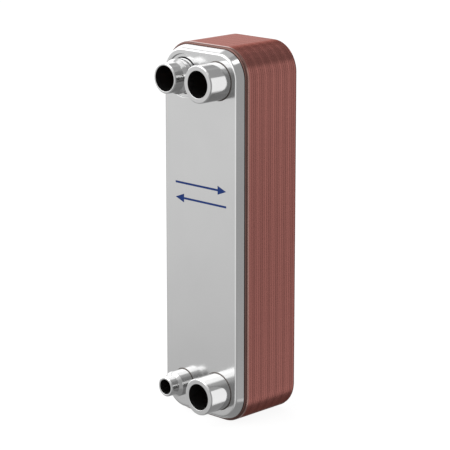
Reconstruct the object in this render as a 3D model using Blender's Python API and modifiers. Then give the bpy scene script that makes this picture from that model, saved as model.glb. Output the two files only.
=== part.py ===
"""Brazed plate heat exchanger, standing upright, in metres.

Two sealing plates close a stack of nested, herringbone-pressed channel plates. A steel cover
tray with four connection stubs lies on the front of the stack, a flat steel cover on its back.
X runs across the plates, Y from the stubs' side to the back, Z up. The origin is the middle
of the bottom of the bounding box.
"""

import math

import bmesh
import bpy
from mathutils import Vector

# Driving dimensions
PLATE_HEIGHT = 0.3250
PLATE_WIDTH = 0.0935
PLATE_CORNER_RADIUS = 0.0258
BODY_DEPTH = 0.0686  # cover face to back
CHANNEL_PLATES = 24
PLATE_PITCH = 0.00234
CHANNEL_SHEET = 0.0004
SEAL_SHEET = 0.0005
JOINT_GAP = 0.0003  # filled with copper on the real unit

SKIRT_HEIGHT = 0.0033
SKIRT_FLARE = math.radians(20)

COVER_HEIGHT = 0.3208  # round the foot of its skirt
COVER_WIDTH = 0.0894
COVER_CORNER_RADIUS = 0.0238
COVER_EDGE_RADIUS = 0.0025
COVER_FLARE = math.radians(21)
COVER_SHEET = 0.0020
COVER_DEPTH = 0.0073
REAR_COVER_SHEET = 0.00155

PORT_SPACING_Z = 0.2693
PORT_SPACING_X = 0.0404
PLATE_PORT_RADIUS = 0.0114
PORT_COLLAR_RADIUS = 0.0145
LIQUID_PORT_RADIUS = 0.0080
GAS_CLEARANCE_RADIUS = 0.0181

WATER_STUB_REACH = 0.0234
WATER_STUB_RADIUS = 0.0160
WATER_BORE_RADIUS = 0.0114
GAS_STUB_REACH = 0.0216
GAS_STUB_RADIUS = 0.0130
GAS_STUB_BASE_RADIUS = 0.0150
GAS_BORE_RADIUS = 0.0109
LIQUID_STUB_REACH = 0.0232
LIQUID_STUB_RADIUS = 0.0087
LIQUID_STUB_BASE_RADIUS = 0.0112
LIQUID_BORE_RADIUS = 0.0065
STUB_CHAMFER = 0.0009

BRAZE_WIDTH = 0.0010
BRAZE_HEIGHT = 0.0009

DISTRIBUTOR_RADIUS = 0.0062
DISTRIBUTOR_WALL = 0.0010
DISTRIBUTOR_INSERTION = 0.0080  # length held in the liquid stub
DISTRIBUTOR_HOLES = 7
DISTRIBUTOR_HOLE_RADIUS = 0.0012

FIELD_WIDTH = 0.0700
FIELD_HEIGHT = 0.1780
CHEVRON_RISE = 0.0200  # how far a ridge climbs from the middle to the side
CHEVRON_RIDGES = 5

PLATE_CORNER_STEPS = 4
COVER_CORNER_STEPS = 6
COVER_EDGE_STEPS = 3
PLATE_PORT_STEPS = 12
COVER_HOLE_STEPS = 24
STUB_STEPS = 24

# Derived dimensions
FACE_Y = (WATER_STUB_REACH - BODY_DEPTH) / 2
CENTRE_Z = PLATE_HEIGHT / 2
RIM_HEIGHT = SKIRT_HEIGHT - CHANNEL_SHEET * math.sin(SKIRT_FLARE)
FLARE_WIDTH = RIM_HEIGHT * math.tan(SKIRT_FLARE)
SEAL_DEPTH = COVER_DEPTH + JOINT_GAP
REAR_SEAL_DEPTH = SEAL_DEPTH + (CHANNEL_PLATES + 1) * PLATE_PITCH
REAR_COVER_DEPTH = BODY_DEPTH - REAR_COVER_SHEET
PRESS_DEPTH = PLATE_PITCH - CHANNEL_SHEET - JOINT_GAP - 0.00005
STUB_TAIL = COVER_DEPTH  # a stub's inner end, behind the cover's face

# Ports as (x sign, z sign), seen from the stubs' side
GAS_PORT = (-1, 1)
LIQUID_PORT = (-1, -1)
WATER_IN_PORT = (1, 1)
WATER_OUT_PORT = (1, -1)
PORTS = (GAS_PORT, LIQUID_PORT, WATER_IN_PORT, WATER_OUT_PORT)


def clear_scene():
    for obj in list(bpy.data.objects):
        bpy.data.objects.remove(obj, do_unlink=True)


def make_collection(name, hidden=False):
    collection = bpy.data.collections.new(name)
    bpy.context.scene.collection.children.link(collection)
    collection.hide_render = hidden
    return collection


def make_material(name, colour, roughness, metallic):
    material = bpy.data.materials.new(name)
    material.use_nodes = True
    shader = material.node_tree.nodes["Principled BSDF"]
    shader.inputs["Base Color"].default_value = (*colour, 1.0)
    shader.inputs["Roughness"].default_value = roughness
    shader.inputs["Metallic"].default_value = metallic
    return material


def make_object(name, mesh, collection, location):
    obj = bpy.data.objects.new(name, mesh)
    obj.location = location
    collection.objects.link(obj)
    return obj


def mesh_from(bm, name, material):
    mesh = bpy.data.meshes.new(name)
    bm.to_mesh(mesh)
    bm.free()
    mesh.materials.append(material)
    return mesh


def port_centre(port, y=0.0):
    return Vector((port[0] * PORT_SPACING_X / 2, y, port[1] * PORT_SPACING_Z / 2))


def on_body(depth):
    """Centre of a plate whose front surface lies this deep behind the cover's face."""
    return Vector((0.0, FACE_Y + depth, CENTRE_Z))


def rounded_outline(width, height, radius, corner_steps, y):
    points = []
    for corner in range(4):
        turn = corner * math.pi / 2
        side_x = 1 if corner in (0, 3) else -1
        side_z = 1 if corner in (0, 1) else -1
        centre_x = side_x * (width / 2 - radius)
        centre_z = side_z * (height / 2 - radius)
        for step in range(corner_steps + 1):
            angle = turn + step / corner_steps * math.pi / 2
            x = centre_x + radius * math.cos(angle)
            z = centre_z + radius * math.sin(angle)
            points.append(Vector((x, y, z)))
    return points


def plate_outline(inset, y):
    """Outline of a plate, drawn in by inset from the full width."""
    width = PLATE_WIDTH - 2 * inset
    height = PLATE_HEIGHT - 2 * inset
    return rounded_outline(width, height, PLATE_CORNER_RADIUS - inset, PLATE_CORNER_STEPS, y)


def circle(centre, radius, steps):
    points = []
    for step in range(steps):
        angle = (step + 0.5) * math.tau / steps
        offset = Vector((radius * math.cos(angle), 0.0, radius * math.sin(angle)))
        points.append(centre + offset)
    return points


def add_loop(bm, points):
    """Closed ring of edges through the points."""
    verts = [bm.verts.new(point) for point in points]
    return [bm.edges.new((verts[index - 1], vert)) for index, vert in enumerate(verts)]


def bridge(bm, first, second):
    """Faces between two rings with as many edges, each starting at the same corner."""
    for edge, opposite in zip(first, second):
        bm.faces.new((*edge.verts, *reversed(opposite.verts)))


def fill(bm, edges):
    bmesh.ops.triangle_fill(bm, use_beauty=True, edges=edges)


def face_front(bm):
    """Turns an open tray's faces to the front and outwards."""
    bmesh.ops.recalc_face_normals(bm, faces=bm.faces)
    flattest = min(bm.faces, key=lambda face: -abs(face.normal.y) * face.calc_area())
    if flattest.normal.y > 0:
        bmesh.ops.reverse_faces(bm, faces=bm.faces)


def add_sheet(obj, thickness):
    sheet = obj.modifiers.new("sheet", "SOLIDIFY")
    sheet.thickness = thickness
    sheet.offset = -1.0
    sheet.use_even_offset = False


def add_skirt(bm, height):
    """Outline of a plate's flat, and its skirt, which leans outwards to the back up to a height."""
    base = add_loop(bm, plate_outline(FLARE_WIDTH, 0.0))
    flare = height * math.tan(SKIRT_FLARE)
    rim = add_loop(bm, plate_outline(FLARE_WIDTH - flare, height))
    bridge(bm, base, rim)
    return base


def chevron_point(across, along):
    """Point of the herringbone field: across runs from -1 to 1, along from 0 to twice the ridges."""
    x = across * FIELD_WIDTH / 2
    y = PRESS_DEPTH if along % 2 else 0.0
    rows = 2 * CHEVRON_RIDGES
    z = (along / rows - 0.5) * FIELD_HEIGHT + (abs(across) - 0.5) * CHEVRON_RISE
    return Vector((x, y, z))


def add_chevrons(bm):
    """Pressed field of V-shaped ridges. Returns its border."""
    rows = 2 * CHEVRON_RIDGES
    grid = bmesh.ops.create_grid(bm, x_segments=2, y_segments=rows, size=1.0)
    for vert in grid["verts"]:
        across = vert.co.x
        along = round((vert.co.y + 1) / 2 * rows)
        vert.co = chevron_point(across, along)
    edges = {edge for vert in grid["verts"] for edge in vert.link_edges}
    return [edge for edge in edges if edge.is_boundary]


def add_port(bm, port, raised):
    """Port hole of a channel plate, in the flat or at the top of a pressed cone. Returns its border."""
    centre = port_centre(port)
    if not raised:
        return add_loop(bm, circle(centre, PLATE_PORT_RADIUS, PLATE_PORT_STEPS))
    foot = add_loop(bm, circle(centre, PORT_COLLAR_RADIUS, PLATE_PORT_STEPS))
    top = add_loop(bm, circle(port_centre(port, PRESS_DEPTH), PLATE_PORT_RADIUS, PLATE_PORT_STEPS))
    bridge(bm, foot, top)
    return foot


def channel_plate_mesh(material):
    bm = bmesh.new()
    border = add_skirt(bm, RIM_HEIGHT)
    border += add_chevrons(bm)
    for port in PORTS:
        border += add_port(bm, port, raised=port[0] > 0)
    fill(bm, border)
    face_front(bm)
    return mesh_from(bm, "channel_plate", material)


def make_channel_plates(collection, material):
    """Every second plate is turned half round, so that its ridges cross its neighbours'."""
    mesh = channel_plate_mesh(material)
    for index in range(1, CHANNEL_PLATES + 1):
        location = on_body(SEAL_DEPTH + index * PLATE_PITCH)
        plate = make_object(f"channel_plate_{index:02d}", mesh, collection, location)
        plate.rotation_euler.y = math.pi * (index % 2)
        add_sheet(plate, CHANNEL_SHEET)


def make_front_seal_plate(collection, material):
    bm = bmesh.new()
    border = add_skirt(bm, RIM_HEIGHT)
    for port in PORTS:
        radius = LIQUID_PORT_RADIUS if port == LIQUID_PORT else PLATE_PORT_RADIUS
        border += add_loop(bm, circle(port_centre(port), radius, COVER_HOLE_STEPS))
    fill(bm, border)
    face_front(bm)
    mesh = mesh_from(bm, "front_seal_plate", material)
    plate = make_object("front_seal_plate", mesh, collection, on_body(SEAL_DEPTH))
    add_sheet(plate, SEAL_SHEET)


def make_rear_seal_plate(collection, material):
    bm = bmesh.new()
    height = BODY_DEPTH - REAR_SEAL_DEPTH - SEAL_SHEET * math.sin(SKIRT_FLARE)
    fill(bm, add_skirt(bm, height))
    face_front(bm)
    mesh = mesh_from(bm, "rear_seal_plate", material)
    plate = make_object("rear_seal_plate", mesh, collection, on_body(REAR_SEAL_DEPTH))
    add_sheet(plate, SEAL_SHEET)


def make_rear_cover_plate(collection, material):
    """Flat steel plate inside the last skirt, flush with its rim."""
    skirt_inset = SEAL_SHEET / math.cos(SKIRT_FLARE) + JOINT_GAP
    skirt_growth = (REAR_COVER_DEPTH - REAR_SEAL_DEPTH) * math.tan(SKIRT_FLARE)
    bm = bmesh.new()
    outline = plate_outline(FLARE_WIDTH + skirt_inset - skirt_growth, REAR_COVER_SHEET)
    fill(bm, add_loop(bm, outline))
    face_front(bm)
    bmesh.ops.reverse_faces(bm, faces=bm.faces)
    mesh = mesh_from(bm, "rear_cover_plate", material)
    plate = make_object("rear_cover_plate", mesh, collection, on_body(REAR_COVER_DEPTH))
    add_sheet(plate, REAR_COVER_SHEET)


def cover_hole_radius(port):
    radii = {
        GAS_PORT: GAS_CLEARANCE_RADIUS,
        LIQUID_PORT: LIQUID_STUB_BASE_RADIUS + JOINT_GAP,
    }
    return radii.get(port, WATER_STUB_RADIUS + JOINT_GAP)


def cover_rings(offset):
    """Rings of (inset, y) over the tray's rounded edge and skirt, this far inside its outer surface."""
    flare_inset = (COVER_DEPTH - COVER_EDGE_RADIUS) * math.tan(COVER_FLARE)
    centre_inset = flare_inset + COVER_EDGE_RADIUS / math.cos(COVER_FLARE)
    radius = COVER_EDGE_RADIUS - offset
    rings = []
    for step in range(COVER_EDGE_STEPS + 1):
        angle = step / COVER_EDGE_STEPS * (math.pi / 2 - COVER_FLARE)
        inset = centre_inset - radius * math.sin(angle)
        rings.append((inset, COVER_EDGE_RADIUS - radius * math.cos(angle)))
    rings.append((offset / math.cos(COVER_FLARE), COVER_DEPTH))
    return rings


def add_cover_surface(bm, offset):
    """One side of the tray. Returns the edges of its foot and of its holes."""
    loops = []
    for inset, y in cover_rings(offset):
        width = COVER_WIDTH - 2 * inset
        height = COVER_HEIGHT - 2 * inset
        radius = COVER_CORNER_RADIUS - inset
        loops.append(add_loop(bm, rounded_outline(width, height, radius, COVER_CORNER_STEPS, y)))
    for first, second in zip(loops, loops[1:]):
        bridge(bm, first, second)
    holes = []
    for port in PORTS:
        hole = circle(port_centre(port, offset), cover_hole_radius(port), COVER_HOLE_STEPS)
        holes.append(add_loop(bm, hole))
    fill(bm, loops[0] + [edge for hole in holes for edge in hole])
    return [loops[-1], *holes]


def make_front_cover_plate(collection, material):
    """Pressed tray with a rounded edge, whose flared skirt stands on the front sealing plate."""
    bm = bmesh.new()
    outer = add_cover_surface(bm, 0.0)
    inner = add_cover_surface(bm, COVER_SHEET)
    for first, second in zip(outer, inner):
        bridge(bm, first, second)
    bmesh.ops.recalc_face_normals(bm, faces=bm.faces)
    mesh = mesh_from(bm, "front_cover_plate", material)
    make_object("front_cover_plate", mesh, collection, on_body(0.0))


def make_turned(name, profile, port, collection, material):
    """Turns a closed profile of (radius, distance in front of the cover's face) round a port."""
    bm = bmesh.new()
    add_loop(bm, [Vector((radius, 0.0, reach)) for radius, reach in profile])
    mesh = mesh_from(bm, name, material)
    turned = make_object(name, mesh, collection, on_body(0.0) + port_centre(port))
    turned.rotation_euler.x = math.pi / 2
    screw = turned.modifiers.new("turn", "SCREW")
    screw.axis = "Z"
    screw.angle = math.tau
    screw.steps = STUB_STEPS
    screw.render_steps = STUB_STEPS
    screw.use_merge_vertices = True
    screw.merge_threshold = 0.00001
    screw.use_smooth_shade = True
    return turned


def straight_stub_profile(reach, radius, bore):
    return [
        (bore, reach - STUB_CHAMFER / 2),
        (bore + STUB_CHAMFER / 2, reach),
        (radius - STUB_CHAMFER, reach),
        (radius, reach - STUB_CHAMFER),
        (radius, -STUB_TAIL),
        (bore, -STUB_TAIL),
    ]


def stepped_stub_profile(reach, radius, bore, shoulder, base_radius, cone):
    """A stub that widens at its shoulder, over the cone's length, to its base."""
    profile = straight_stub_profile(reach, radius, bore)
    step = [(radius, shoulder), (base_radius, shoulder - cone)]
    return profile[:4] + step + [(base_radius, -STUB_TAIL), (bore, -STUB_TAIL)]


def make_stubs(collection, material):
    water = straight_stub_profile(WATER_STUB_REACH, WATER_STUB_RADIUS, WATER_BORE_RADIUS)
    make_turned("water_inlet_stub", water, WATER_IN_PORT, collection, material)
    make_turned("water_outlet_stub", water, WATER_OUT_PORT, collection, material)
    gas = stepped_stub_profile(
        GAS_STUB_REACH, GAS_STUB_RADIUS, GAS_BORE_RADIUS, 0.0115, GAS_STUB_BASE_RADIUS, 0.0035
    )
    make_turned("refrigerant_outlet_stub", gas, GAS_PORT, collection, material)
    liquid = stepped_stub_profile(
        LIQUID_STUB_REACH, LIQUID_STUB_RADIUS, LIQUID_BORE_RADIUS, 0.0145, LIQUID_STUB_BASE_RADIUS, 0.0008
    )
    make_turned("refrigerant_inlet_stub", liquid, LIQUID_PORT, collection, material)


def make_braze_ring(name, port, stub_radius, seat, collection, material):
    """Fillet of copper round a stub. The seat is the surface that it lies on."""
    inner = stub_radius + JOINT_GAP
    foot = seat + JOINT_GAP
    profile = [
        (inner, foot + BRAZE_HEIGHT),
        (inner + BRAZE_WIDTH / 3, foot + BRAZE_HEIGHT / 3),
        (inner + BRAZE_WIDTH, foot),
        (inner, foot),
    ]
    make_turned(name, profile, port, collection, material)


def make_braze_rings(collection, material):
    for name, port, radius, seat in (
        ("water_inlet_braze_ring", WATER_IN_PORT, WATER_STUB_RADIUS, 0.0),
        ("water_outlet_braze_ring", WATER_OUT_PORT, WATER_STUB_RADIUS, 0.0),
        ("refrigerant_inlet_braze_ring", LIQUID_PORT, LIQUID_STUB_BASE_RADIUS, 0.0),
        ("refrigerant_outlet_braze_ring", GAS_PORT, GAS_STUB_BASE_RADIUS, -SEAL_DEPTH),
    ):
        make_braze_ring(name, port, radius, seat, collection, material)


def add_cylinder(name, radius, start, end, steps, cutters):
    """Hidden cylinder between two points, for cutting."""
    axis = end - start
    bm = bmesh.new()
    bmesh.ops.create_cone(
        bm, cap_ends=True, segments=steps, radius1=radius, radius2=radius, depth=axis.length
    )
    mesh = bpy.data.meshes.new(name)
    bm.to_mesh(mesh)
    bm.free()
    cutter = make_object(name, mesh, cutters, (start + end) / 2)
    cutter.rotation_mode = "QUATERNION"
    cutter.rotation_quaternion = axis.to_track_quat("Z", "Y")
    cutter.hide_render = True
    cutter.display_type = "WIRE"
    return cutter


def make_distributor(collection, cutters, material):
    """Drilled tube that spreads the liquid over the channels. Its back end is closed."""
    front = -(STUB_TAIL - DISTRIBUTOR_INSERTION)
    back = -(REAR_SEAL_DEPTH - PLATE_PITCH)
    inner = DISTRIBUTOR_RADIUS - DISTRIBUTOR_WALL
    bm = bmesh.new()
    points = [
        (0.0, back + DISTRIBUTOR_WALL),
        (inner, back + DISTRIBUTOR_WALL),
        (inner, front),
        (DISTRIBUTOR_RADIUS, front),
        (DISTRIBUTOR_RADIUS, back),
        (0.0, back),
    ]
    verts = [bm.verts.new((radius, 0.0, reach)) for radius, reach in points]
    for first, second in zip(verts, verts[1:]):
        bm.edges.new((first, second))
    mesh = mesh_from(bm, "refrigerant_distributor_tube", material)
    location = on_body(0.0) + port_centre(LIQUID_PORT)
    tube = make_object("refrigerant_distributor_tube", mesh, collection, location)
    tube.rotation_euler.x = math.pi / 2
    screw = tube.modifiers.new("turn", "SCREW")
    screw.axis = "Z"
    screw.angle = math.tau
    screw.steps = 16
    screw.render_steps = 16
    screw.use_merge_vertices = True
    screw.merge_threshold = 0.00001
    screw.use_smooth_shade = True
    first_hole = SEAL_DEPTH + 2 * PLATE_PITCH
    last_hole = REAR_SEAL_DEPTH - 3 * PLATE_PITCH
    for index in range(DISTRIBUTOR_HOLES):
        depth = first_hole + (last_hole - first_hole) * index / (DISTRIBUTOR_HOLES - 1)
        start = location + Vector((0.0, depth, 0.0))
        end = start + Vector((0.0, 0.0, -2 * DISTRIBUTOR_RADIUS))
        name = f"distributor_drill_{index + 1}"
        drill = add_cylinder(name, DISTRIBUTOR_HOLE_RADIUS, start, end, 8, cutters)
        cut = tube.modifiers.new(name, "BOOLEAN")
        cut.operation = "DIFFERENCE"
        cut.object = drill


def main():
    clear_scene()
    parts = make_collection("plate_heat_exchanger")
    cutters = make_collection("cutters", hidden=True)
    cover_steel = make_material("stainless_cover", (0.60, 0.60, 0.60), 0.22, 1.0)
    stub_steel = make_material("stainless_stub", (0.68, 0.68, 0.67), 0.16, 1.0)
    plate_steel = make_material("copper_brazed_plate", (0.34, 0.13, 0.11), 0.42, 1.0)
    braze = make_material("braze_copper", (0.42, 0.20, 0.14), 0.38, 1.0)
    make_front_cover_plate(parts, cover_steel)
    make_front_seal_plate(parts, plate_steel)
    make_channel_plates(parts, plate_steel)
    make_rear_seal_plate(parts, plate_steel)
    make_rear_cover_plate(parts, cover_steel)
    make_stubs(parts, stub_steel)
    make_braze_rings(parts, braze)
    make_distributor(parts, cutters, stub_steel)


main()
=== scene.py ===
import math

import bmesh
import bpy
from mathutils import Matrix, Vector


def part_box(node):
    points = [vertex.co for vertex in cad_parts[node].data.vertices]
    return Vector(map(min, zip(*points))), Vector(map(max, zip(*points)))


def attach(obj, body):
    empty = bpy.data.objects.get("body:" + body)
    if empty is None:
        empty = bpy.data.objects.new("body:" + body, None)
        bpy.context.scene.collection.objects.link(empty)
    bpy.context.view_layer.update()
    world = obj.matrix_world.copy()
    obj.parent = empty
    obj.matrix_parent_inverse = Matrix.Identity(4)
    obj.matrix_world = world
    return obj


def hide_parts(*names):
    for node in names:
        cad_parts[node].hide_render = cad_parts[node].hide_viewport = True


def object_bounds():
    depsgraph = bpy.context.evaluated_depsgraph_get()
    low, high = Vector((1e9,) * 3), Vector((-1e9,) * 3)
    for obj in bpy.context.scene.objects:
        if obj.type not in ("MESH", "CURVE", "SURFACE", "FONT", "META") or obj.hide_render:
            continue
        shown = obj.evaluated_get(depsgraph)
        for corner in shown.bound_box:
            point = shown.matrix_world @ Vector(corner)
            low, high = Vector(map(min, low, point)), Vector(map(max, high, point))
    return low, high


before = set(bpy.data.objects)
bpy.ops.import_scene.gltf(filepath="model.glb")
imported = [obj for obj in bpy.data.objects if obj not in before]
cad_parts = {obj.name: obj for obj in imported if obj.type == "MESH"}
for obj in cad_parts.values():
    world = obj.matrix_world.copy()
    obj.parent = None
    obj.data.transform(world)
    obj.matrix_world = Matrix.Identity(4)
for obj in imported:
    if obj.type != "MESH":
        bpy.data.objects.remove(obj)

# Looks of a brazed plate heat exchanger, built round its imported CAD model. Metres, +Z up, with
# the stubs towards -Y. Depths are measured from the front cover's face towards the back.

CAD_LOW, CAD_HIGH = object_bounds()
BODY = "root"
CHANNEL_PLATES = sum(name.startswith("channel_plate_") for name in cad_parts)

# Places read from the CAD boxes
COVER_LOW, COVER_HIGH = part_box("front_cover_plate")
SEAL_LOW, SEAL_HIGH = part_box("front_seal_plate")
REAR_SEAL_LOW, REAR_SEAL_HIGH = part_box("rear_seal_plate")
REAR_COVER_LOW, REAR_COVER_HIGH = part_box("rear_cover_plate")
FACE_Y = COVER_LOW.y
CENTRE_Z = (COVER_LOW.z + COVER_HIGH.z) / 2
COVER_HALF = (COVER_HIGH - COVER_LOW) / 2
PLATE_HALF = (SEAL_HIGH - SEAL_LOW) / 2
REAR_COVER_HALF = (REAR_COVER_HIGH - REAR_COVER_LOW) / 2

# Cover tray
COVER_CORNER = 0.0238
COVER_EDGE = 0.0025
COVER_SHEET = 0.0020
COVER_FLARE = math.radians(21)
STUB_GAP = 0.0005
GAS_CLEARANCE = 0.0181
GAS_THROAT = 0.0157
GAS_RECESS = 0.0013

# Pressed plates
PLATE_CORNER = 0.0258
SKIRT_FLARE = math.radians(20)
SEAL_SHEET = 0.0005
SEAL_BEND = 0.0018
CHANNEL_SHEET = 0.0004
CHANNEL_BEND = 0.0007
PLATE_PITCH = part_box("channel_plate_02")[0].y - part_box("channel_plate_01")[0].y
SKIRT_INSET = 0.0007  # of the part of a skirt that stands under its neighbour's lip
LIP_TILT = 0.00012
PRESS_DEPTH = 0.00155
PORT_RADIUS = 0.0114
PORT_COLLAR = 0.0145
LIQUID_PORT_RADIUS = 0.0080
CUT_ROUND = 0.00012  # of the cut edges of the skirts

# Herringbone field
FIELD_HALF_WIDTH = 0.0350
FIELD_HALF_HEIGHT = 0.0890
FIELD_CELL = 0.0020
FIELD_FADE = 0.0040
RIDGE_PITCH = 0.0080
RIDGE_SLOPE = 0.55

# Stubs
WATER_BORE = 0.0114
GAS_RADIUS = 0.0130
GAS_BORE = 0.0109
GAS_SHOULDER = 0.0115
GAS_CONE = 0.0035
LIQUID_RADIUS = 0.0087
LIQUID_BORE = 0.0065
LIQUID_SHOULDER = 0.0150
LIQUID_CONE = 0.0027
MOUTH_CHAMFER = 0.0009

# Printed mark
MARK_RIGHT = 0.0005
MARK_RISE = 0.0355
ARROW_RISE = 0.0066
ARROW_LENGTH = 0.060
ARROW_HEAD = 0.0100
ARROW_HALF_HEAD = 0.0038
ARROW_HALF_SHAFT = 0.0009
PRINT_THICKNESS = 0.00006

# Fineness of curves
CORNER_STEPS = 24
ROUND_STEPS = 96
FILLET_STEPS = 6

# Camera
CAMERA_AZIMUTH = math.radians(44.19)
CAMERA_ELEVATION = math.radians(13.80)
CAMERA_DISTANCE = 1.8206
CAMERA_RIGHT = 0.0209
CAMERA_UP = 0.00837
SENSOR_WIDTH = 36.0
FOCAL_LENGTH = 171.55

# Studio. Angles are azimuths from +Y towards +X, and elevations, in degrees.
FLOOR_SIDE = 8.0
FLOOR_GAP = 0.0002
FLOOR_GREY = 0.12
FLOOR_GLOW = 0.92
ROOM_LIGHT = 0.14
ROOM_BASE = 2.6  # units of room light everywhere, with one more above the next elevations
ROOM_RISE = (-38, -26)
FRONT_WALL = (-195, -95, -80, 24, 12, 1.0)
FRONT_WALL_START = -24.5  # the front wall brightens upwards from this elevation
FRONT_WALL_RISE = 0.042
FRONT_WALL_LIGHT = 0.48
# Lowest and highest azimuth, lowest and highest elevation, width of the soft border, radiance
SOFT_PANELS = (
    (33, 52, -42, 25, 3, 0.95),
    (-100, -38, -3, 42, 12, 1.3),
    (-120, 0, 46, 85, 10, 0.3),
    (-186, -152, 12, 62, 14, 1.7),
    (-152, -104, 9, 62, 7, 2.1),
    (-184, -112, 27, 62, 12, 0.7),
    (-250, -72, 60, 95, 14, 0.8),
    (148, 176, 25, 60, 16, 0.5),
    (60, 92, 57, 70, 4, 2.3),
    (72, 100, -32, -20, 5, 0.35),
    (-112, -56, -75, -26, 8, 0.25),
    (-205, -162, -40, 12, 14, 0.40),
)


# Node helpers

def new_material(name):
    material = bpy.data.materials.new(name)
    material.use_nodes = True
    nodes = material.node_tree.nodes
    return material, nodes, material.node_tree.links, nodes["Principled BSDF"]


def noise_of(nodes, links, scale, stretch=(1, 1, 1), detail=3.0):
    """Noise in object space, stretched by scaling its coordinates."""
    place = nodes.new("ShaderNodeTexCoord")
    mapping = nodes.new("ShaderNodeMapping")
    mapping.inputs["Scale"].default_value = stretch
    noise = nodes.new("ShaderNodeTexNoise")
    noise.inputs["Scale"].default_value = scale
    noise.inputs["Detail"].default_value = detail
    links.new(place.outputs["Object"], mapping.inputs["Vector"])
    links.new(mapping.outputs["Vector"], noise.inputs["Vector"])
    return noise.outputs["Fac"]


def ramp_of(nodes, links, source, stops):
    """Colour ramp over a value. Stops are (position, colour)."""
    ramp = nodes.new("ShaderNodeValToRGB")
    elements = ramp.color_ramp.elements
    while len(elements) < len(stops):
        elements.new(0.5)
    for element, (position, colour) in zip(elements, stops):
        element.position = position
        element.color = (*colour, 1.0)
    links.new(source, ramp.inputs["Fac"])
    return ramp.outputs["Color"]


def range_of(nodes, links, source, low, high, start=0.3, end=0.7):
    """Maps a value between start and end to low and high."""
    mapped = nodes.new("ShaderNodeMapRange")
    mapped.inputs["From Min"].default_value = start
    mapped.inputs["From Max"].default_value = end
    mapped.inputs["To Min"].default_value = low
    mapped.inputs["To Max"].default_value = high
    links.new(source, mapped.inputs["Value"])
    return mapped.outputs["Result"]


def add_bump(nodes, links, shader, height, distance, strength):
    bump = nodes.new("ShaderNodeBump")
    bump.inputs["Distance"].default_value = distance
    bump.inputs["Strength"].default_value = strength
    links.new(height, bump.inputs["Height"])
    links.new(bump.outputs["Normal"], shader.inputs["Normal"])


# Materials

def metal(name, dark, light, smooth, rough, grain, stretch, bump_distance, bump_strength):
    """Metal whose colour and roughness wander slowly, with a fine stretched grain."""
    material, nodes, links, shader = new_material(name)
    shader.inputs["Metallic"].default_value = 1.0
    wander = noise_of(nodes, links, 22.0, detail=2.0)
    colour = ramp_of(nodes, links, wander, [(0.3, dark), (0.7, light)])
    links.new(colour, shader.inputs["Base Color"])
    fine = noise_of(nodes, links, grain, stretch)
    roughness = range_of(nodes, links, fine, smooth, rough)
    links.new(roughness, shader.inputs["Roughness"])
    add_bump(nodes, links, shader, fine, bump_distance, bump_strength)
    return material


def cover_steel():
    """Smooth rolled sheet with a faint grain along its length."""
    return metal(
        "cover_steel", (0.56, 0.56, 0.56), (0.58, 0.58, 0.58), smooth=0.13, rough=0.18,
        grain=900.0, stretch=(1, 1, 0.06), bump_distance=0.00002, bump_strength=0.05,
    )


def back_steel():
    """Mill-finished sheet, duller than the front, with its grain along the plate."""
    return metal(
        "back_steel", (0.38, 0.38, 0.38), (0.44, 0.44, 0.44), smooth=0.26, rough=0.42,
        grain=700.0, stretch=(1, 1, 0.04), bump_distance=0.00003, bump_strength=0.12,
    )


def turned_steel():
    """Bright turned steel with faint tool lines round the axis."""
    return metal(
        "turned_steel", (0.54, 0.54, 0.54), (0.58, 0.58, 0.58), smooth=0.09, rough=0.15,
        grain=600.0, stretch=(0.1, 4, 0.1), bump_distance=0.00002, bump_strength=0.08,
    )


def plate_copper(name, film):
    """Stainless plate edges under a film of brazing copper, slightly darker or lighter by film."""
    material, nodes, links, shader = new_material(name)
    shader.inputs["Metallic"].default_value = 1.0
    shader.inputs["Specular Tint"].default_value = (0.60, 0.46, 0.44, 1.0)
    bands = noise_of(nodes, links, 110.0, (0.03, 1, 0.03), detail=1.0)
    dark = (0.242 * film, 0.092 * film, 0.080 * film)
    light = (0.275 * film, 0.106 * film, 0.092 * film)
    colour = ramp_of(nodes, links, bands, [(0.35, dark), (0.65, light)])
    links.new(colour, shader.inputs["Base Color"])
    grain = noise_of(nodes, links, 700.0)
    roughness = range_of(nodes, links, grain, 0.26, 0.30)
    links.new(roughness, shader.inputs["Roughness"])
    add_bump(nodes, links, shader, grain, 0.00003, 0.04)
    return material


def seal_copper_painted_shade():
    """Outermost plate. Its copper is painted dark beside the cover, as painted shade in the groove
    there, and lighter along the lip, partly its own paler film and partly painted highlight.
    """
    material, nodes, links, shader = new_material("seal_copper_painted_shade")
    shader.inputs["Metallic"].default_value = 1.0
    place = nodes.new("ShaderNodeTexCoord")
    axes = nodes.new("ShaderNodeSeparateXYZ")
    links.new(place.outputs["Object"], axes.inputs["Vector"])
    # Painted shade: the colour is darkest at the plate's front beside the cover, where the groove
    # lies in shade, and lightens back towards the lip.
    start, end = SEAL_LOW.y + 0.0006, SEAL_LOW.y + 0.0022
    groove_shade_fade = range_of(nodes, links, axes.outputs["Y"], 0.0, 1.0, start, end)
    wander = noise_of(nodes, links, 60.0, detail=2.0)
    share = nodes.new("ShaderNodeMath")
    share.operation = "MULTIPLY_ADD"
    links.new(wander, share.inputs[0])
    share.inputs[1].default_value = 0.15
    links.new(groove_shade_fade, share.inputs[2])
    stops = [(0.05, (0.110, 0.060, 0.052)), (1.0, (0.30, 0.170, 0.148))]
    colour = ramp_of(nodes, links, share.outputs[0], stops)
    links.new(colour, shader.inputs["Base Color"])
    grain = noise_of(nodes, links, 500.0)
    roughness = range_of(nodes, links, grain, 0.22, 0.28)
    links.new(roughness, shader.inputs["Roughness"])
    add_bump(nodes, links, shader, grain, 0.00003, 0.05)
    return material


def joint_copper():
    """Melted copper, darkened in the furnace."""
    return metal(
        "joint_copper", (0.10, 0.09, 0.085), (0.15, 0.13, 0.122), smooth=0.30, rough=0.42,
        grain=400.0, stretch=(1, 1, 1), bump_distance=0.00006, bump_strength=0.3,
    )


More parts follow.
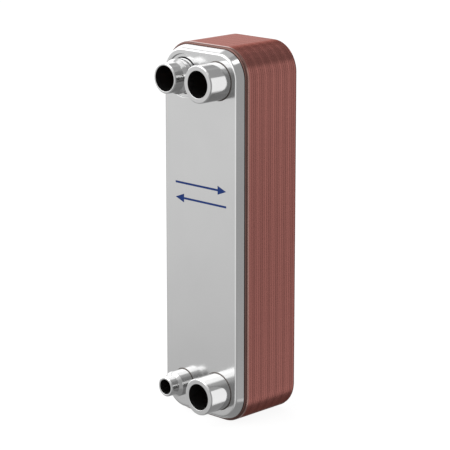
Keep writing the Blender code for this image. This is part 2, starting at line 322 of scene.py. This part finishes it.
def bore_painted_shade():
    """Inside of a stub, painted nearly black and matt, as painted shade deep in the bore."""
    return metal(
        "bore_painted_shade", (0.10, 0.098, 0.096), (0.15, 0.147, 0.144), smooth=0.35, rough=0.5,
        grain=500.0, stretch=(1, 1, 1), bump_distance=0.00003, bump_strength=0.1,
    )


def blue_print():
    """Dark blue ink with hardly any gloss."""
    material, nodes, links, shader = new_material("blue_print")
    shader.inputs["Roughness"].default_value = 0.5
    shader.inputs["Specular IOR Level"].default_value = 0.12
    wander = noise_of(nodes, links, 400.0)
    stops = [(0.3, (0.004, 0.018, 0.095)), (0.7, (0.006, 0.026, 0.125))]
    colour = ramp_of(nodes, links, wander, stops)
    links.new(colour, shader.inputs["Base Color"])
    return material


# Mesh helpers

def rounded_path(corners, closed=False):
    """Path through (a, b, fillet radius) corners, with its corners rounded."""
    points = []
    count = len(corners)
    for index, (a, b, radius) in enumerate(corners):
        corner = Vector((a, b))
        inside = closed or 0 < index < count - 1
        if not inside or radius == 0:
            points.append(corner)
            continue
        before = (Vector(corners[index - 1][:2]) - corner).normalized()
        after = (Vector(corners[(index + 1) % count][:2]) - corner).normalized()
        half = before.angle(after) / 2
        centre = corner + (before + after).normalized() * radius / math.sin(half)
        start = corner + before * radius / math.tan(half) - centre
        end = corner + after * radius / math.tan(half) - centre
        for step in range(FILLET_STEPS + 1):
            points.append(centre + start.slerp(end, step / FILLET_STEPS).normalized() * radius)
    return [(point.x, point.y) for point in points]


def rounded_outline(half_width, half_height, radius, y):
    """Rectangle with rounded corners, upright round the plates' middle."""
    points = []
    for quarter in range(4):
        side_x = 1 if quarter in (0, 3) else -1
        side_z = 1 if quarter in (0, 1) else -1
        for step in range(CORNER_STEPS + 1):
            angle = (quarter + step / CORNER_STEPS) * math.pi / 2
            x = side_x * (half_width - radius) + radius * math.cos(angle)
            z = side_z * (half_height - radius) + radius * math.sin(angle)
            points.append((x, y, CENTRE_Z + z))
    return points


def circle(centre, radius, y):
    points = []
    for step in range(ROUND_STEPS):
        angle = step / ROUND_STEPS * math.tau
        points.append((centre.x + radius * math.cos(angle), y, centre.z + radius * math.sin(angle)))
    return points


def add_ring(bm, points):
    return [bm.verts.new(point) for point in points]


def wrap(bm, rings):
    """Faces between each ring and the next."""
    for first, second in zip(rings, rings[1:]):
        for index in range(len(first)):
            bm.faces.new((first[index - 1], first[index], second[index], second[index - 1]))


def ring_edges(bm, ring):
    return [bm.edges.get((ring[index - 1], vert)) for index, vert in enumerate(ring)]


def make_piece(name, mesh_or_bm, material, nodes, sharp=40.0):
    """Object on the body that stands for its CAD nodes."""
    mesh = mesh_or_bm
    if isinstance(mesh, bmesh.types.BMesh):
        bmesh.ops.recalc_face_normals(mesh, faces=mesh.faces)
        mesh = bpy.data.meshes.new(name)
        mesh_or_bm.to_mesh(mesh)
        mesh_or_bm.free()
        mesh.materials.append(material)
        mesh.shade_smooth()
        mesh.set_sharp_from_angle(angle=math.radians(sharp))
    piece = bpy.data.objects.new(name, mesh)
    bpy.context.scene.collection.objects.link(piece)
    weighted = piece.modifiers.new("flat_faces", "WEIGHTED_NORMAL")
    weighted.keep_sharp = True
    weighted.weight = 100
    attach(piece, BODY)
    if nodes:
        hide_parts(*nodes)
    return piece


def add_sheet(bm, half, corner, edge, holes, more_borders=()):
    """Pressed sheet. The edge is a path of (inset, y) from its front flat round its rim to its
    back flat, and each hole is (centre, path of (radius, y)) from the front flat to the back."""
    rim = [rounded_outline(half.x - inset, half.z - inset, corner - inset, y) for inset, y in edge]
    chains = [[add_ring(bm, outline) for outline in rim]]
    for centre, path in holes:
        chains.append([add_ring(bm, circle(centre, radius, y)) for radius, y in path])
    for chain in chains:
        wrap(bm, chain)
    for side in (0, -1):
        border = [part for chain in chains for part in ring_edges(bm, chain[side])]
        if more_borders:
            border += more_borders[side]
        bmesh.ops.triangle_fill(bm, use_beauty=True, edges=border)


def port_centre(port):
    low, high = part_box(port + "_stub")
    return (low + high) / 2


GAS = "refrigerant_outlet"
LIQUID = "refrigerant_inlet"
PORTS = {port: port_centre(port) for port in ("water_inlet", "water_outlet", LIQUID, GAS)}


def stub_span(port):
    """Depth of a stub's mouth, depth of its tail and radius of its base."""
    low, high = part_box(port + "_stub")
    return low.y, high.y, (high.x - low.x) / 2


# Pieces

def gas_recess():
    """Section of the cover round the gas stub: the sheet is pressed back in a shallow ring."""
    floor, back = FACE_Y + GAS_RECESS, FACE_Y + COVER_SHEET
    return rounded_path([
        (GAS_CLEARANCE + 0.0015, FACE_Y, 0),
        (GAS_CLEARANCE + 0.0002, FACE_Y, 0.0006),
        (GAS_CLEARANCE, floor, 0.0003),
        (GAS_THROAT, floor, 0.0003),
        (GAS_THROAT, floor + COVER_SHEET, 0.0002),
        (GAS_CLEARANCE + 0.0012, floor + COVER_SHEET, 0.0003),
        (GAS_CLEARANCE + 0.0014, back, 0.0003),
        (GAS_CLEARANCE + 0.0024, back, 0),
    ])


def make_front_cover(material):
    """Tray with a rounded edge, a flared skirt, three close holes and the gas stub's recess."""
    depth = COVER_HIGH.y - FACE_Y
    flare = depth * math.tan(COVER_FLARE)
    foot = COVER_SHEET / math.cos(COVER_FLARE)
    inside = (depth - COVER_SHEET) * math.tan(COVER_FLARE) + foot
    edge = rounded_path([
        (inside + 0.002, FACE_Y, 0),
        (flare, FACE_Y, COVER_EDGE),
        (0.0, FACE_Y + depth, 0.0002),
        (foot, FACE_Y + depth, 0.0002),
        (inside, FACE_Y + COVER_SHEET, 0.0006),
        (inside + 0.002, FACE_Y + COVER_SHEET, 0),
    ])
    holes = []
    for port, centre in PORTS.items():
        if port == GAS:
            path = gas_recess()
        else:
            radius = stub_span(port)[2] + STUB_GAP
            path = rounded_path([
                (radius + 0.001, FACE_Y, 0),
                (radius, FACE_Y, 0.0003),
                (radius, FACE_Y + COVER_SHEET, 0.0002),
                (radius + 0.001, FACE_Y + COVER_SHEET, 0),
            ])
        holes.append((centre, path))
    bm = bmesh.new()
    add_sheet(bm, COVER_HALF, COVER_CORNER, edge, holes)
    return make_piece("front_cover", bm, material, ["front_cover_plate"])


def skirt_path(front, back, sheet, bend):
    """Section of a nested plate's edge: a bend, a short skirt under its neighbour, and a lip."""
    lip = back - PLATE_PITCH
    joggle = SKIRT_INSET * 0.4
    step = sheet * 0.4
    return rounded_path([
        (SKIRT_INSET + bend + 0.002, front, 0),
        (SKIRT_INSET, front, bend),
        (SKIRT_INSET, lip - 0.0001, 0.0002),
        (LIP_TILT, lip + joggle, 0.0003),
        (0.0, back, CUT_ROUND),
        (sheet, back, CUT_ROUND),
        (sheet + LIP_TILT, lip + joggle + step, 0.0001),
        (SKIRT_INSET + sheet, lip + step, 0.0001),
        (SKIRT_INSET + sheet, front + sheet, bend * 0.4),
        (SKIRT_INSET + bend + 0.002, front + sheet, 0),
    ])


def make_front_seal(material):
    """Outermost plate, whose lip shows all round the cover."""
    front = SEAL_LOW.y
    edge = rounded_path([
        (SEAL_BEND + 0.003, front, 0),
        (LIP_TILT, front, SEAL_BEND),
        (0.0, SEAL_HIGH.y, CUT_ROUND),
        (SEAL_SHEET, SEAL_HIGH.y, CUT_ROUND),
        (SEAL_SHEET + LIP_TILT, front + SEAL_SHEET, SEAL_BEND - SEAL_SHEET),
        (SEAL_BEND + 0.003, front + SEAL_SHEET, 0),
    ])
    holes = []
    for port, centre in PORTS.items():
        radius = LIQUID_PORT_RADIUS if port == LIQUID else PORT_RADIUS
        holes.append((centre, [(radius, front), (radius, front + SEAL_SHEET)]))
    bm = bmesh.new()
    add_sheet(bm, PLATE_HALF, PLATE_CORNER, edge, holes)
    return make_piece("front_seal", bm, material, ["front_seal_plate"])


def press(x, z):
    """Pressed depth of the herringbone field at a point from its middle."""
    margin = min(FIELD_HALF_WIDTH - abs(x), FIELD_HALF_HEIGHT - abs(z))
    fade = min(max(margin / FIELD_FADE, 0.0), 1.0)
    fade = fade * fade * (3 - 2 * fade)
    phase = (z + abs(x) * RIDGE_SLOPE) / RIDGE_PITCH
    return PRESS_DEPTH * fade * (0.5 - 0.5 * math.cos(phase * math.tau))


def add_field(bm, y):
    """One side of the herringbone field. Returns its border."""
    columns = round(2 * FIELD_HALF_WIDTH / FIELD_CELL)
    rows = round(2 * FIELD_HALF_HEIGHT / FIELD_CELL)
    grid = []
    for row in range(rows + 1):
        z = FIELD_HALF_HEIGHT * (2 * row / rows - 1)
        line = []
        for column in range(columns + 1):
            x = FIELD_HALF_WIDTH * (2 * column / columns - 1)
            line.append(bm.verts.new((x, y + press(x, z), CENTRE_Z + z)))
        grid.append(line)
    for below, above in zip(grid, grid[1:]):
        for index in range(columns):
            bm.faces.new((below[index], below[index + 1], above[index + 1], above[index]))
    left = [line[0] for line in grid]
    right = [line[-1] for line in grid]
    loop = grid[0] + right[1:] + grid[-1][-2::-1] + left[-2:0:-1]
    return ring_edges(bm, loop)


def make_channel_plates(coppers):
    """Every second plate is turned half round, so that its ridges cross its neighbours'. The
    coppers follow each other from plate to plate."""
    low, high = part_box("channel_plate_01")
    edge = skirt_path(0.0, high.y - low.y, CHANNEL_SHEET, CHANNEL_BEND)
    holes = []
    for centre in PORTS.values():
        if centre.x > 0:
            path = rounded_path([
                (PORT_COLLAR + 0.001, 0.0, 0),
                (PORT_COLLAR, 0.0, 0.0006),
                (PORT_RADIUS + 0.0012, PRESS_DEPTH, 0.0006),
                (PORT_RADIUS, PRESS_DEPTH, 0),
                (PORT_RADIUS, PRESS_DEPTH + CHANNEL_SHEET, 0),
                (PORT_RADIUS + 0.0012, PRESS_DEPTH + CHANNEL_SHEET, 0.0006),
                (PORT_COLLAR, CHANNEL_SHEET, 0.0006),
                (PORT_COLLAR + 0.001, CHANNEL_SHEET, 0),
            ])
        else:
            path = [(PORT_RADIUS, 0.0), (PORT_RADIUS, CHANNEL_SHEET)]
        holes.append((centre, path))
    bm = bmesh.new()
    borders = [add_field(bm, 0.0), add_field(bm, CHANNEL_SHEET)]
    add_sheet(bm, PLATE_HALF, PLATE_CORNER, edge, holes, borders)
    bmesh.ops.translate(bm, verts=bm.verts, vec=(0, 0, -CENTRE_Z))
    mesh = None
    for index in range(1, CHANNEL_PLATES + 1):
        node = f"channel_plate_{index:02d}"
        name = f"pressed_plate_{index:02d}"
        piece = make_piece(name, mesh or bm, coppers[0], [node])
        mesh = piece.data
        slot = piece.material_slots[0]
        slot.link = "OBJECT"
        slot.material = coppers[index % len(coppers)]
        piece.location = (0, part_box(node)[0].y, CENTRE_Z)
        piece.rotation_euler.y = math.pi * (index % 2)


def make_rear_seal(material):
    """Last plate, a plain tray. Its skirt is open at the back, round the rear cover."""
    half = (REAR_SEAL_HIGH - REAR_SEAL_LOW) / 2
    flare = (REAR_SEAL_HIGH.y - REAR_SEAL_LOW.y) * math.tan(SKIRT_FLARE)
    corner = PLATE_CORNER - (PLATE_HALF.x - half.x)
    side = SEAL_SHEET / math.cos(SKIRT_FLARE)
    front, back = REAR_SEAL_LOW.y, REAR_SEAL_HIGH.y
    edge = rounded_path([
        (flare + 0.003, front, 0),
        (flare, front, CHANNEL_BEND),
        (0.0, back, CUT_ROUND),
        (side, back, CUT_ROUND),
        (side + (back - front - SEAL_SHEET) * math.tan(SKIRT_FLARE), front + SEAL_SHEET, 0.0003),
        (flare + 0.003, front + SEAL_SHEET, 0),
    ])
    bm = bmesh.new()
    add_sheet(bm, half, corner, edge, [])
    return make_piece("rear_seal", bm, material, ["rear_seal_plate"])


def make_rear_cover(material):
    """Flat plate, whose cut edge is rounded more at the back."""
    front, back = REAR_COVER_LOW.y, REAR_COVER_HIGH.y
    corner = PLATE_CORNER - (PLATE_HALF.x - REAR_COVER_HALF.x)
    edge = rounded_path([
        (0.003, front, 0),
        (0.0, front, 0.0002),
        (0.0, back, 0.0006),
        (0.003, back, 0),
    ])
    bm = bmesh.new()
    add_sheet(bm, REAR_COVER_HALF, corner, edge, [])
    return make_piece("rear_cover", bm, material, ["rear_cover_plate"])


def make_turned(name, port, path, material, nodes):
    """Turns a closed path of (radius, y) round a port's axis."""
    bm = bmesh.new()
    rings = [add_ring(bm, circle(PORTS[port], radius, y)) for radius, y in path]
    wrap(bm, rings + rings[:1])
    return make_piece(name, bm, material, nodes)


def darken_bore(pipe, port, bore, material):
    """Gives the faces of a bore their own material, the dark one that paints the shade inside it.
    """
    pipe.data.materials.append(material)
    centre = PORTS[port]
    for face in pipe.data.polygons:
        middle = Vector((face.center.x - centre.x, face.center.z - centre.z))
        if middle.length < bore + 0.0001:
            face.material_index = 1


def make_stub(port, radius, bore, step, material, inside):
    """Stub with a rounded mouth. The step is None, or (distance of the shoulder in front of the
    face, length of the cone behind it)."""
    mouth, tail, base = stub_span(port)
    corners = [
        (bore, tail, 0.0002),
        (bore, mouth, 0.0004),
        (radius - MOUTH_CHAMFER, mouth, 0.0003),
        (radius, mouth + MOUTH_CHAMFER, 0.0004),
    ]
    if step:
        shoulder = FACE_Y - step[0]
        blend = min(0.0012, step[1] / 3)
        corners += [(radius, shoulder, blend), (base, shoulder + step[1], blend)]
    corners.append((base, tail, 0.0002))
    path = rounded_path(corners, closed=True)
    pipe = make_turned(port + "_pipe", port, path, material, [port + "_stub"])
    # The bore's walls get a near-black material that stands for the shade deep inside it.
    darken_bore(pipe, port, bore, inside)


def make_stubs(material, inside):
    for port in ("water_inlet", "water_outlet"):
        make_stub(port, stub_span(port)[2], WATER_BORE, None, material, inside)
    make_stub(GAS, GAS_RADIUS, GAS_BORE, (GAS_SHOULDER, GAS_CONE), material, inside)
    make_stub(LIQUID, LIQUID_RADIUS, LIQUID_BORE, (LIQUID_SHOULDER, LIQUID_CONE), material, inside)


def make_joints(material):
    """Thin fillet of copper round each stub's foot."""
    for port in PORTS:
        radius = stub_span(port)[2]
        seat = SEAL_LOW.y if port == GAS else FACE_Y
        path = rounded_path([
            (radius + 0.00005, seat - 0.0004, 0.0001),
            (radius + 0.00035, seat - 0.0001, 0.0002),
            (radius + 0.00085, seat - 0.00005, 0.0001),
            (radius + 0.0007, seat + 0.0002, 0),
            (radius + 0.00005, seat + 0.0002, 0),
        ], closed=True)
        make_turned(port + "_joint", port, path, material, [port + "_braze_ring"])


def make_distributor(material):
    """Drilled tube inside the liquid port, kept from the CAD with a finer finish."""
    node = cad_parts["refrigerant_distributor_tube"]
    node.data.materials.clear()
    node.data.materials.append(material)


def arrow_points(turn):
    """Outline of an arrow round its middle. A turn of 1 points it along +X and -1 along -X."""
    half = ARROW_LENGTH / 2
    neck = half - ARROW_HEAD
    points = [
        (-half, -ARROW_HALF_SHAFT),
        (neck, -ARROW_HALF_SHAFT),
        (neck, -ARROW_HALF_HEAD),
        (half, 0.0),
        (neck, ARROW_HALF_HEAD),
        (neck, ARROW_HALF_SHAFT),
        (-half, ARROW_HALF_SHAFT),
    ]
    return [(turn * a, turn * b) for a, b in points]


def make_flow_mark(material):
    """Plain counter-flow sign: two opposed arrows printed on the cover."""
    centre = Vector((MARK_RIGHT, FACE_Y, CENTRE_Z + MARK_RISE))
    bm = bmesh.new()
    for turn, rise in ((1, ARROW_RISE), (-1, -ARROW_RISE)):
        front = [
            bm.verts.new((centre.x + a, FACE_Y - PRINT_THICKNESS, centre.z + rise + b))
            for a, b in arrow_points(turn)
        ]
        back = [bm.verts.new(vert.co + Vector((0, PRINT_THICKNESS / 2, 0))) for vert in front]
        bm.faces.new(front)
        bm.faces.new(back)
        wrap(bm, [front, back])
    return make_piece("flow_mark", bm, material, [])


# Studio

def make_floor():
    """Pale floor. Polished metal sees the studio's soft panels instead of it."""
    material, nodes, links, shader = new_material("studio_floor")
    shader.inputs["Base Color"].default_value = (FLOOR_GREY, FLOOR_GREY, FLOOR_GREY, 1.0)
    shader.inputs["Roughness"].default_value = 1.0
    shader.inputs["Specular IOR Level"].default_value = 0.0
    shader.inputs["Emission Color"].default_value = (1.0, 1.0, 1.0, 1.0)
    shader.inputs["Emission Strength"].default_value = FLOOR_GLOW
    mesh = bpy.data.meshes.new("studio_floor")
    corners = [(a * FLOOR_SIDE, b * FLOOR_SIDE, 0) for a, b in ((-1, -1), (1, -1), (1, 1), (-1, 1))]
    mesh.from_pydata(corners, [], [(0, 1, 2, 3)])
    mesh.materials.append(material)
    floor = bpy.data.objects.new("studio_floor", mesh)
    floor.location.z = CAD_LOW.z - FLOOR_GAP
    floor.visible_glossy = False
    bpy.context.scene.collection.objects.link(floor)


def make_world():
    """Soft white studio: a pale room with a front wall and soft panels."""
    world = bpy.data.worlds.new("studio")
    bpy.context.scene.world = world
    world.use_nodes = True
    nodes, links = world.node_tree.nodes, world.node_tree.links

    def math_of(operation, first, second=None):
        node = nodes.new("ShaderNodeMath")
        node.operation = operation
        for socket, value in zip(node.inputs, (first, second)):
            if isinstance(value, (int, float)):
                socket.default_value = value
            elif value is not None:
                links.new(value, socket)
        return node.outputs[0]

    def step_of(value, start, end):
        node = nodes.new("ShaderNodeMapRange")
        node.interpolation_type = "SMOOTHSTEP"
        node.inputs["From Min"].default_value = start
        node.inputs["From Max"].default_value = end
        links.new(value, node.inputs["Value"])
        return node.outputs["Result"]

    place = nodes.new("ShaderNodeTexCoord")
    axes = nodes.new("ShaderNodeSeparateXYZ")
    links.new(place.outputs["Generated"], axes.inputs["Vector"])
    azimuth = math_of("ARCTAN2", axes.outputs["X"], axes.outputs["Y"])
    azimuth = math_of("MULTIPLY", azimuth, 180 / math.pi)
    elevation = math_of("MULTIPLY", math_of("ARCSINE", axes.outputs["Z"]), 180 / math.pi)

    def panel(azimuth_low, azimuth_high, elevation_low, elevation_high, soft, radiance):
        middle = (azimuth_low + azimuth_high) / 2
        half = (azimuth_high - azimuth_low) / 2
        turned = math_of("SUBTRACT", azimuth, middle)
        wrapped = math_of("WRAP", turned, 180)
        wrapped.node.inputs[2].default_value = -180
        across = step_of(math_of("ABSOLUTE", wrapped), half + soft / 2, half - soft / 2)
        low = step_of(elevation, elevation_low - soft / 2, elevation_low + soft / 2)
        high = step_of(elevation, elevation_high + soft / 2, elevation_high - soft / 2)
        mask = math_of("MULTIPLY", across, math_of("MULTIPLY", low, high))
        return math_of("MULTIPLY", mask, radiance)

    rise = math_of("ADD", elevation, -FRONT_WALL_START)
    rise = math_of("MAXIMUM", math_of("MULTIPLY", rise, FRONT_WALL_RISE), 0.0)
    front = math_of("MINIMUM", rise, FRONT_WALL_LIGHT)
    light = math_of("ADD", step_of(elevation, *ROOM_RISE), ROOM_BASE)
    light = math_of("MULTIPLY", light, ROOM_LIGHT)
    light = math_of("ADD", light, math_of("MULTIPLY", panel(*FRONT_WALL), front))
    for values in SOFT_PANELS:
        light = math_of("ADD", light, panel(*values))
    background = nodes["Background"]
    links.new(light, background.inputs["Strength"])
    background.inputs["Color"].default_value = (1.0, 1.0, 1.0, 1.0)


def make_camera():
    """Camera seen from the right, above the stubs."""
    side, rise = math.sin(CAMERA_AZIMUTH), math.sin(CAMERA_ELEVATION)
    front, level = math.cos(CAMERA_AZIMUTH), math.cos(CAMERA_ELEVATION)
    back = Vector((side * level, -front * level, rise))
    right = Vector((front, side, 0))
    up = Vector((-side * rise, front * rise, level))
    data = bpy.data.cameras.new("camera")
    data.sensor_width = SENSOR_WIDTH
    data.lens = FOCAL_LENGTH
    data.clip_start = 0.05
    data.clip_end = 60
    camera = bpy.data.objects.new("camera", data)
    aim = Vector((0, FACE_Y, CENTRE_Z))
    camera.location = aim + back * CAMERA_DISTANCE + right * CAMERA_RIGHT + up * CAMERA_UP
    camera.rotation_mode = "QUATERNION"
    camera.rotation_quaternion = (-back).to_track_quat("-Z", "Y")
    bpy.context.scene.collection.objects.link(camera)
    bpy.context.scene.camera = camera


def main():
    bpy.context.scene.view_settings.view_transform = "Standard"
    steel, turned = cover_steel(), turned_steel()
    copper, seal, joint = plate_copper("plate_copper", 1.0), seal_copper_painted_shade(), joint_copper()
    light_copper = plate_copper("light_plate_copper", 1.1)
    dark_copper = plate_copper("dark_plate_copper", 0.9)
    make_front_cover(steel)
    make_front_seal(seal)
    make_channel_plates([copper, light_copper, copper, dark_copper])
    make_rear_seal(copper)
    make_rear_cover(back_steel())
    make_stubs(turned, bore_painted_shade())
    make_joints(joint)
    make_distributor(turned)
    make_flow_mark(blue_print())
    make_floor()
    make_world()
    make_camera()


main()
